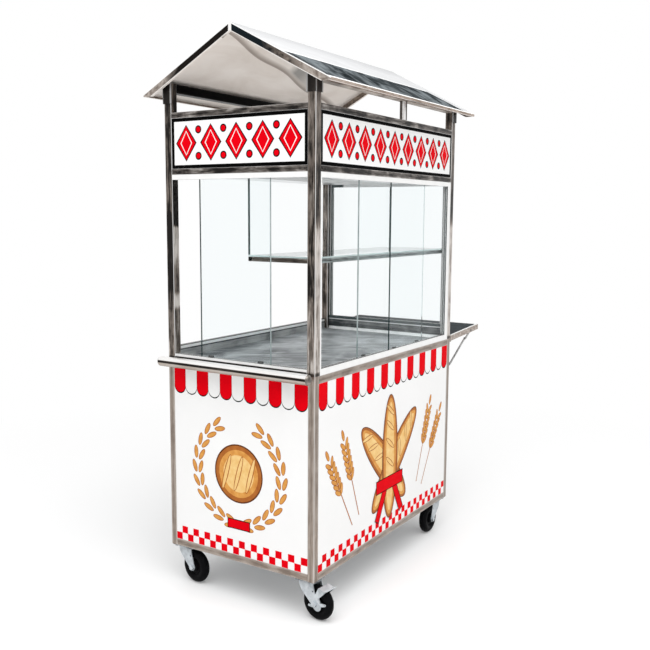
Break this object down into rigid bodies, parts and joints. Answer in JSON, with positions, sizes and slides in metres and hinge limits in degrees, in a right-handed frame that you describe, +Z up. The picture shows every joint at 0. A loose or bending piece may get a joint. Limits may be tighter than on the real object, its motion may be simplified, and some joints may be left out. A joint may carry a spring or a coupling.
{
  "type": "street food cart",
  "caption": "Stainless sandwich vending cart on swivel casters, with a glazed sliding-pane cabinet, sign boards, gable roof, push handle, cupboard and a folding side shelf",
  "frame": {"origin": "on the floor, under the middle of the whole outline from the push handle to the open side shelf", "axes": "X along the cart from the push handle to the side shelf, Y from the customers' side to the vendor's side, Z up"},
  "size_m": [1.3482, 0.734, 1.8749],
  "materials": {
    "frame_steel": "satin stainless tube",
    "sheet_steel": "bright stainless sheet",
    "roof_steel": "mirror-bright stainless sheet",
    "dark_steel": "dark pressed steel",
    "white_panel": "white gloss composite sheet",
    "white_board": "white gloss board",
    "white_track": "white powder coat",
    "pane_glass": "clear float glass",
    "black_plastic": "black moulded",
    "zinc": "zinc-plated pressed steel",
    "black_rubber": "black rubber"
  },
  "bodies": {
    "cart": {"base_posts": "frame_steel", "base_bottom_rails": "frame_steel", "base_top_rails": "frame_steel", "base_panels": "white_panel", "base_floor": "sheet_steel", "storage_shelf": "sheet_steel", "shelf_cleats": "sheet_steel", "counter_top": "sheet_steel", "counter_upstands": "sheet_steel", "upper_posts": "frame_steel", "sign_frame": "frame_steel", "sign_boards": "white_board", "ceiling_sheet": "sheet_steel", "roof_beams": "frame_steel", "roof_slope_front": "roof_steel", "roof_slope_back": "roof_steel", "roof_brackets": "dark_steel", "lower_tracks": "white_track", "upper_tracks": "white_track", "jamb_channels": "white_track", "fixed_glass": "pane_glass", "glazing_channels": "white_track", "divider_glass": "pane_glass", "display_shelf_frame": "frame_steel", "display_shelf_glass": "pane_glass", "handle_tube": "frame_steel", "handle_caps": "frame_steel", "handle_brackets": "frame_steel", "shelf_hinge_leaf": "sheet_steel", "shelf_hinge_pin": "sheet_steel", "stay_brackets": "sheet_steel", "door_hinge_barrels": "sheet_steel", "caster_plates": "zinc", "caster_bolts": "zinc", "caster_pads": "frame_steel"},
    "front_pane_outer": {"front_pane_outer": "pane_glass"},
    "front_pane_inner": {"front_pane_inner": "pane_glass"},
    "end_pane_outer": {"end_pane_outer": "pane_glass"},
    "end_pane_inner": {"end_pane_inner": "pane_glass"},
    "side_shelf": {"side_shelf": "sheet_steel"},
    "stay_lower": {"stay_lower_links": "sheet_steel"},
    "stay_upper": {"stay_upper_links": "sheet_steel"},
    "door_left": {"door_left": "sheet_steel", "door_left_knob": "black_plastic"},
    "door_right": {"door_right": "sheet_steel", "door_right_knob": "black_plastic"},
    "swivel_handle_front": {"fork_handle_front": "zinc", "axle_handle_front": "zinc"},
    "wheel_handle_front": {"wheel_handle_front": "black_rubber"},
    "pedal_handle_front": {"pedal_handle_front": "zinc"},
    "swivel_handle_back": {"fork_handle_back": "zinc", "axle_handle_back": "zinc"},
    "wheel_handle_back": {"wheel_handle_back": "black_rubber"},
    "swivel_shelf_front": {"fork_shelf_front": "zinc", "axle_shelf_front": "zinc"},
    "wheel_shelf_front": {"wheel_shelf_front": "black_rubber"},
    "swivel_shelf_back": {"fork_shelf_back": "zinc", "axle_shelf_back": "zinc"},
    "wheel_shelf_back": {"wheel_shelf_back": "black_rubber"},
    "pedal_shelf_back": {"pedal_shelf_back": "zinc"}
  },
  "joints": [
    {"name": "swivel_handle_front", "type": "hinge", "parent": "cart", "child": "swivel_handle_front", "pos_m": [-0.57711, -0.257, 0.124], "axis": [0, 0, 1], "continuous": true},
    {"name": "roll_handle_front", "type": "hinge", "parent": "swivel_handle_front", "child": "wheel_handle_front", "pos_m": [-0.58174, -0.29472, 0.058], "axis": [0.9925, -0.1219, 0], "continuous": true},
    {"name": "brake_handle_front", "type": "hinge", "parent": "swivel_handle_front", "child": "pedal_handle_front", "pos_m": [-0.58296, -0.30464, 0.084], "axis": [0.9925, -0.1219, 0], "range_deg": [0, 14]},
    {"name": "swivel_handle_back", "type": "hinge", "parent": "cart", "child": "swivel_handle_back", "pos_m": [-0.57711, 0.257, 0.124], "axis": [0, 0, 1], "continuous": true},
    {"name": "roll_handle_back", "type": "hinge", "parent": "swivel_handle_back", "child": "wheel_handle_back", "pos_m": [-0.58174, 0.21928, 0.058], "axis": [0.9925, -0.1219, 0], "continuous": true},
    {"name": "swivel_shelf_front", "type": "hinge", "parent": "cart", "child": "swivel_shelf_front", "pos_m": [0.33689, -0.257, 0.124], "axis": [0, 0, 1], "continuous": true},
    {"name": "roll_shelf_front", "type": "hinge", "parent": "swivel_shelf_front", "child": "wheel_shelf_front", "pos_m": [0.29889, -0.257, 0.058], "axis": [0, -1, 0], "continuous": true},
    {"name": "swivel_shelf_back", "type": "hinge", "parent": "cart", "child": "swivel_shelf_back", "pos_m": [0.33689, 0.257, 0.124], "axis": [0, 0, 1], "continuous": true},
    {"name": "roll_shelf_back", "type": "hinge", "parent": "swivel_shelf_back", "child": "wheel_shelf_back", "pos_m": [0.30019, 0.26683, 0.058], "axis": [-0.2588, -0.9659, 0], "continuous": true},
    {"name": "brake_shelf_back", "type": "hinge", "parent": "swivel_shelf_back", "child": "pedal_shelf_back", "pos_m": [0.29053, 0.26942, 0.084], "axis": [-0.2588, -0.9659, 0], "range_deg": [0, 14]},
    {"name": "slide_front_pane_outer", "type": "slide", "parent": "cart", "child": "front_pane_outer", "axis": [1, 0, 0], "range_m": [-0.451, 0]},
    {"name": "slide_front_pane_inner", "type": "slide", "parent": "cart", "child": "front_pane_inner", "axis": [1, 0, 0], "range_m": [-0.246, 0.205]},
    {"name": "slide_end_pane_outer", "type": "slide", "parent": "cart", "child": "end_pane_outer", "axis": [0, 1, 0], "range_m": [-0.136, 0.111]},
    {"name": "slide_end_pane_inner", "type": "slide", "parent": "cart", "child": "end_pane_inner", "axis": [0, 1, 0], "range_m": [-0.142, 0.105]},
    {"name": "fold_side_shelf", "type": "hinge", "parent": "cart", "child": "side_shelf", "pos_m": [0.38689, 0, 0.782], "axis": [0, 1, 0], "range_deg": [0, 93.5]},
    {"name": "fold_stay_lower", "type": "hinge", "parent": "cart", "child": "stay_lower", "pos_m": [0.39889, 0, 0.688], "axis": [0, 1, 0], "range_deg": [0, 121.11]},
    {"name": "fold_stay_upper", "type": "hinge", "parent": "side_shelf", "child": "stay_upper", "pos_m": [0.59577, 0, 0.8068], "axis": [0, 1, 0], "range_deg": [-152.39, 0]},
    {"name": "swing_door_left", "type": "hinge", "parent": "cart", "child": "door_left", "pos_m": [-0.59811, 0.306, 0.47], "axis": [0, 0, 1], "range_deg": [0, 110]},
    {"name": "swing_door_right", "type": "hinge", "parent": "cart", "child": "door_right", "pos_m": [0.35789, 0.306, 0.47], "axis": [0, 0, -1], "range_deg": [0, 110]}
  ],
  "couplings": [
    {"joint": "fold_stay_lower", "follows": "fold_side_shelf", "ratio": 1.2953},
    {"joint": "fold_stay_upper", "follows": "fold_side_shelf", "ratio": -1.6299}
  ]
}
